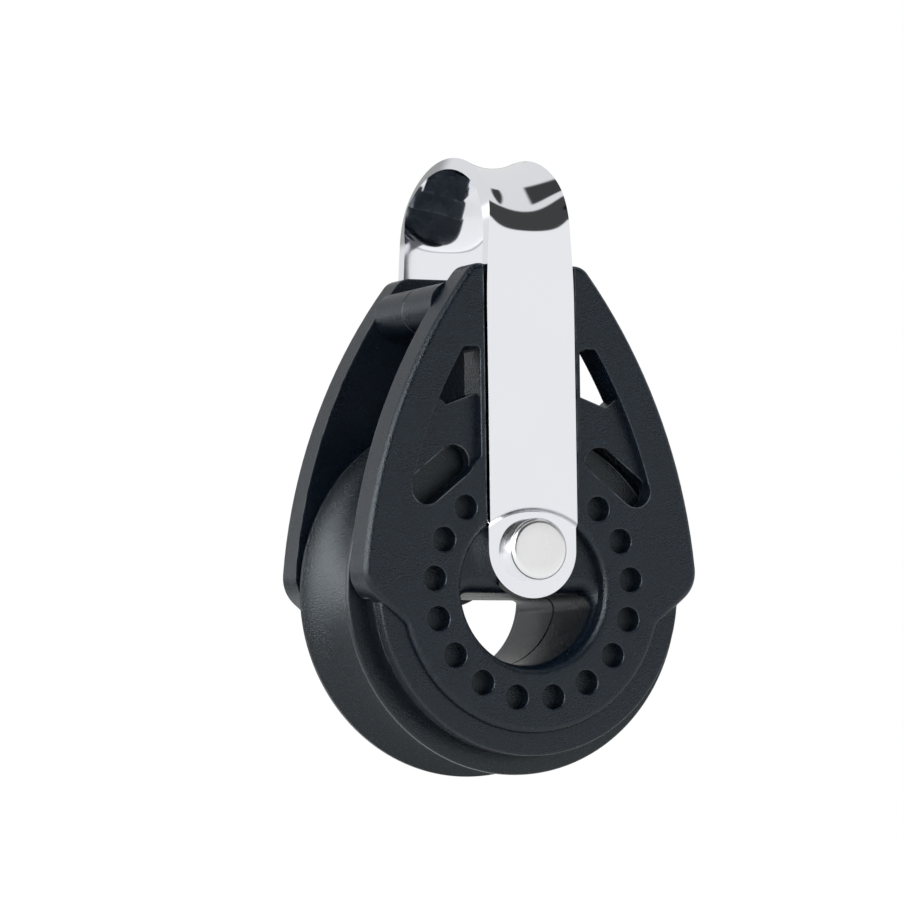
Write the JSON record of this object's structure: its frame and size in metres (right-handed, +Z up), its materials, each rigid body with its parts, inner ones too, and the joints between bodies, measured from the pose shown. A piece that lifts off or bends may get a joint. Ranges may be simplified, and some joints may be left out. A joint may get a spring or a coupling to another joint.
{
  "type": "single sheave block",
  "caption": "Boat block with one grooved plastic sheave on loose balls between two pear-shaped moulded cheeks, hung from a riveted stainless strap bent into a loop over the head.",
  "frame": {"origin": "centre of the sheave, on its axis and midway between the two cheeks", "axes": "+Y along the sheave axis towards the rear cheek, +Z up to the strap loop that the block hangs from, +X to the right seen from the front cheek"},
  "size_m": [0.029, 0.0186, 0.0493],
  "materials": {
    "cheek_plastic": "fine moulded grain, charcoal black",
    "sheave_plastic": "turned and moulded, satin black",
    "strap_steel": "bright polished",
    "rivet_steel": "polished, faint turning marks",
    "ball_plastic": "smooth off-white"
  },
  "bodies": {
    "frame": {"front_cheek": "cheek_plastic", "rear_cheek": "cheek_plastic", "strap": "strap_steel", "rivet": "rivet_steel"},
    "sheave": {"sheave": "sheave_plastic"},
    "front_ball_ring": {"front_ball_01": "ball_plastic", "front_ball_02": "ball_plastic", "front_ball_03": "ball_plastic", "front_ball_04": "ball_plastic", "front_ball_05": "ball_plastic", "front_ball_06": "ball_plastic", "front_ball_07": "ball_plastic", "front_ball_08": "ball_plastic", "front_ball_09": "ball_plastic", "front_ball_10": "ball_plastic", "front_ball_11": "ball_plastic", "front_ball_12": "ball_plastic", "front_ball_13": "ball_plastic", "front_ball_14": "ball_plastic", "front_ball_15": "ball_plastic", "front_ball_16": "ball_plastic", "front_ball_17": "ball_plastic", "front_ball_18": "ball_plastic", "front_ball_19": "ball_plastic", "front_ball_20": "ball_plastic", "front_ball_21": "ball_plastic"},
    "rear_ball_ring": {"rear_ball_01": "ball_plastic", "rear_ball_02": "ball_plastic", "rear_ball_03": "ball_plastic", "rear_ball_04": "ball_plastic", "rear_ball_05": "ball_plastic", "rear_ball_06": "ball_plastic", "rear_ball_07": "ball_plastic", "rear_ball_08": "ball_plastic", "rear_ball_09": "ball_plastic", "rear_ball_10": "ball_plastic", "rear_ball_11": "ball_plastic", "rear_ball_12": "ball_plastic", "rear_ball_13": "ball_plastic", "rear_ball_14": "ball_plastic", "rear_ball_15": "ball_plastic", "rear_ball_16": "ball_plastic", "rear_ball_17": "ball_plastic", "rear_ball_18": "ball_plastic", "rear_ball_19": "ball_plastic", "rear_ball_20": "ball_plastic", "rear_ball_21": "ball_plastic"}
  },
  "joints": [
    {"name": "sheave_spin", "type": "hinge", "parent": "frame", "child": "sheave", "pos_m": [0, 0, 0], "axis": [0, 1, 0], "continuous": true},
    {"name": "front_ball_orbit", "type": "hinge", "parent": "frame", "child": "front_ball_ring", "pos_m": [0, -0.00503, 0], "axis": [0, 1, 0], "continuous": true},
    {"name": "rear_ball_orbit", "type": "hinge", "parent": "frame", "child": "rear_ball_ring", "pos_m": [0, 0.00503, 0], "axis": [0, 1, 0], "continuous": true}
  ],
  "couplings": [
    {"joint": "front_ball_orbit", "follows": "sheave_spin", "ratio": 0.5709},
    {"joint": "rear_ball_orbit", "follows": "sheave_spin", "ratio": 0.5709}
  ]
}
